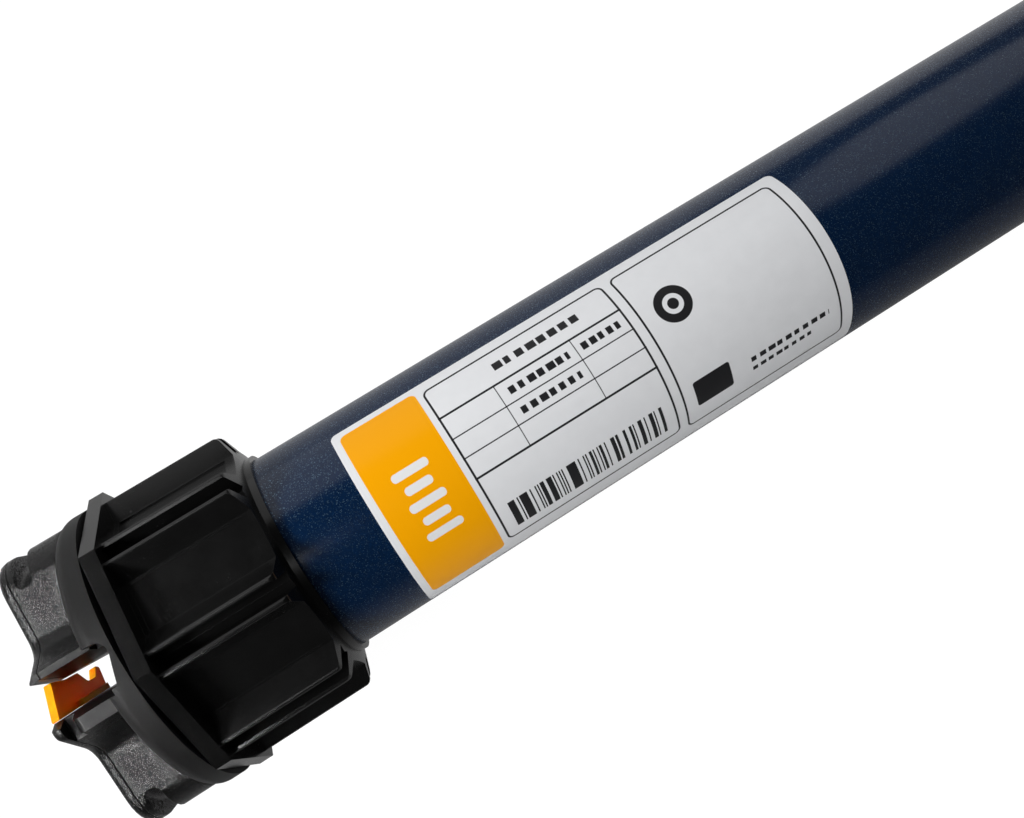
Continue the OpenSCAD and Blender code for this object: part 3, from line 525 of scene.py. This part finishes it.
def wrapped_label():
    """Label: a flat film with rounded corners, wrapped round the tube."""
    width = LABEL_X[1] - LABEL_X[0]
    girth = (LABEL_ARC[1] - LABEL_ARC[0]) * LABEL_R
    deselect()
    bpy.ops.mesh.primitive_plane_add(size=1)
    film = bpy.context.object
    film.scale = (width, girth, 1)
    bpy.ops.object.transform_apply(scale=True)
    bpy.ops.object.mode_set(mode="EDIT")
    bpy.ops.mesh.select_all(action="SELECT")
    bpy.ops.mesh.bevel(affect="VERTICES", offset=LABEL_CORNER, segments=6)
    for k in range(1, LABEL_STRIPS):
        bpy.ops.mesh.select_all(action="SELECT")
        bpy.ops.mesh.bisect(plane_co=(0, (k / LABEL_STRIPS - 0.5) * girth, 0), plane_no=(0, 1, 0))
    bpy.ops.object.mode_set(mode="OBJECT")
    middle = sum(LABEL_ARC) / 2 + HEAD_TURN
    for vertex in film.data.vertices:
        turn = middle + vertex.co.y / LABEL_R
        vertex.co = (sum(LABEL_X) / 2 + vertex.co.x,
                     LABEL_R * math.cos(turn), LABEL_R * math.sin(turn))
    bpy.ops.object.mode_set(mode="EDIT")
    bpy.ops.mesh.select_all(action="SELECT")
    bpy.ops.mesh.normals_make_consistent(inside=False)
    bpy.ops.object.mode_set(mode="OBJECT")
    outwards = sum(face.normal.dot(Vector((0, face.center.y, face.center.z)))
                   for face in film.data.polygons)
    if outwards < 0:
        film.data.flip_normals()
    modify(film, "SOLIDIFY", thickness=LABEL_THICK, offset=-1)
    return settle(film, "printed_label", label_print(), "motor_body", "rating_label")


def dress_outside():
    """The pieces that show: eased copies of the mouldings, the tube and its label."""
    crown = crown_plastic()
    settle(eased_copy("head_body", 0.3 * MM, 40), "star_head", star_plastic(), "motor_body",
           "head_body", 40)
    settle(eased_copy("crown_adapter", 0.3 * MM), "ribbed_crown", crown, "crown", "crown_adapter")
    settle(eased_copy("button_cover", 0.15 * MM), "orange_cover", cover_plastic(), "cover",
           "button_cover")
    settle(eased_copy("drive_wheel", 0.4 * MM), "octagon_wheel", crown, "output", "drive_wheel")
    painted_tube()
    wrapped_label()


def finish_inside():
    """Finishes of the CAD nodes that stay as they are; those not listed are steel."""
    white = moulded_plastic("white_plastic", (0.75, 0.75, 0.71, 1), 0.45, mottle=0.06)
    yellow = moulded_plastic("yellow_plastic", (0.8, 0.48, 0.03, 1), 0.45, mottle=0.1)
    red = moulded_plastic("red_plastic", (0.5, 0.03, 0.02, 1), 0.4)
    dark = moulded_plastic("dark_plastic", (0.03, 0.03, 0.032, 1), 0.5)
    nylon = moulded_plastic("nylon", (0.68, 0.65, 0.55, 1), 0.45, mottle=0.06)
    rubber = moulded_plastic("foam_rubber", (0.02, 0.02, 0.02, 1), 0.75, 0.6 * MM, 0.05 * MM)
    lining = moulded_plastic("friction_lining", (0.07, 0.05, 0.04, 1), 0.8, 0.4 * MM, 0.06 * MM)
    brown = moulded_plastic("brown_sheath", (0.12, 0.05, 0.02, 1), 0.45)
    blue = moulded_plastic("blue_sheath", (0.02, 0.06, 0.3, 1), 0.45)
    casting = cast_metal("die_casting", (0.5, 0.5, 0.52, 1))
    bronze = bright_metal("sintered_bronze", (0.6, 0.4, 0.2, 1), 0.5)
    brass = bright_metal("brass", (0.7, 0.5, 0.18, 1), 0.3)
    aluminium = bright_metal("drawn_aluminium", (0.7, 0.71, 0.72, 1), 0.3)
    sheets = stacked_sheet("lamination_steel")
    copper = wound_copper("enamelled_copper")
    groups = (
        (white, ("up_limit_button", "cable_socket", "limit_pinion", "idler_gear", "layshaft_gear",
                 "up_cam_wheel")),
        (yellow, ("down_limit_button", "down_cam_wheel")),
        (red, ("up_switch_plunger", "down_switch_plunger")),
        (dark, ("limit_frame", "up_microswitch", "down_microswitch")),
        (nylon, ("first_planet_a", "first_planet_b", "first_planet_c")),
        (rubber, ("capacitor_rings", "shaft_seal")),
        (lining, ("brake_disc",)),
        (brown, ("supply_leads",)),
        (blue, ("motor_leads",)),
        (casting, ("rear_end_shield", "front_end_shield", "gearbox_end_cap")),
        (bronze, ("rotor_bushes", "output_bush")),
        (brass, ("socket_pins",)),
        (aluminium, ("run_capacitor",)),
        (sheets, ("stator_core", "rotor_core")),
        (copper, ("stator_windings", "brake_coil")),
    )
    finishes = {name: finish for finish, names in groups for name in names}
    for name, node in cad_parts.items():
        if name not in dressed:
            node.data.materials.clear()
            node.data.materials.append(finishes.get(name, STEEL))


def pale_floor():
    """Floor that the camera sees as white. What the part mirrors of it is a painted reflection, a
    glow and not the floor's lit colour;
    it fades in front of the tube: from a brighter start, and sooner, at the head than at the far
    end."""
    size, gap, shown_white, shown_share = 6, 0.2 * MM, 1.06, 0.93
    fade_from, fade_over, front_edge = 60 * MM, 130 * MM, -32 * MM
    head_reach, far_reach = 60 * MM, 240 * MM
    head_white, white_loss, white_cap, behind_white = 0.55, 0.36, 0.3, 0.55
    deselect()
    bpy.ops.mesh.primitive_plane_add(size=size, location=(0.2, 0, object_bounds()[0][2] - gap))
    floor = bpy.context.object
    floor.name = "floor"
    pale = bpy.data.materials.new("pale_floor")
    pale.use_nodes = True
    tree = pale.node_tree
    wire = Wire(tree)
    paper = tree.nodes["Principled BSDF"]
    paper.inputs["Base Color"].default_value = grey(0.9)
    paper.inputs["Roughness"].default_value = 0.8
    path = tree.nodes.new("ShaderNodeLightPath")
    camera, through, glossy = (Wire(tree, path.outputs["Is %s Ray" % kind])
                               for kind in ("Camera", "Transmission", "Glossy"))
    direct = camera.most(through)
    seen = direct.most(glossy)
    x, y, _ = wire.add("ShaderNodeNewGeometry").parts()
    along = ((x - fade_from) / fade_over).clamp()
    reach = 1 / head_reach - along * (1 / head_reach - 1 / far_reach)
    nearness = wire.maths("EXPONENT", ((y - front_edge) * reach).least(0.0))
    # Painted reflection: held to a cap so that it stays darker right in front of the tube, a
    # painted shadow of the tube, and brighter behind the tube.
    painted_reflection = (nearness * (head_white - along * white_loss)).least(white_cap)
    painted_reflection = painted_reflection.most((y > 0.0) * behind_white)
    glow = wire.add("ShaderNodeEmission", None,
                    {"Color": direct.most(painted_reflection), "Strength": shown_white})
    mixed = wire.add("ShaderNodeMixShader", None,
                     {0: seen * shown_share, 1: Wire(tree, paper.outputs[0]), 2: glow})
    tree.links.new(mixed.socket, tree.nodes["Material Output"].inputs["Surface"])
    floor.data.materials.append(pale)
    floor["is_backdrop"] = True


def studio_world():
    """Dim surroundings that the camera sees as white."""
    world = bpy.data.worlds.new("studio")
    bpy.context.scene.world = world
    world.use_nodes = True
    tree = world.node_tree
    tree.nodes.remove(tree.nodes["Background"])
    sky = Wire(tree)
    dim, white = (sky.add("ShaderNodeBackground", None, {"Color": grey(1.0), "Strength": strength})
                  for strength in (0.04, 1.0))
    shown = sky.add("ShaderNodeLightPath", pick="Is Camera Ray")
    mixed = sky.add("ShaderNodeMixShader", None, {0: shown, 1: dim, 2: white})
    tree.links.new(mixed.socket, tree.nodes["World Output"].inputs["Surface"])


def soft_box(name, place, aim, size, power, spread, shape):
    lamp = bpy.data.lights.new(name, "AREA")
    lamp.shape, lamp.energy, lamp.spread = shape, power, math.radians(spread)
    lamp.size, lamp.size_y = size
    holder = bpy.data.objects.new(name, lamp)
    holder.location = place
    holder.rotation_euler = (Vector(aim) - Vector(place)).to_track_quat("-Z", "Y").to_euler()
    bpy.context.collection.objects.link(holder)


def photo_camera():
    """Camera at the photograph's angle."""
    camera = bpy.data.cameras.new("camera")
    camera.sensor_width, camera.lens = CAMERA_SENSOR, CAMERA_LENS
    camera.clip_start = 0.01
    holder = bpy.data.objects.new("camera", camera)
    holder.location = CAMERA_PLACE
    holder.rotation_euler = CAMERA_TURN
    bpy.context.collection.objects.link(holder)
    bpy.context.scene.camera = holder
    bpy.context.scene.view_settings.view_transform = "Standard"


dress_outside()
STEEL = bright_metal("ground_steel", (0.62, 0.62, 0.64, 1), 0.35)
pressed_spring("up_button_spring", "up_button_coil")
pressed_spring("down_button_spring", "down_button_coil")
pressed_spring("brake_spring", "brake_coil_spring")
finish_inside()
pale_floor()
studio_world()
for row in LAMPS:
    soft_box(*row)
photo_camera()
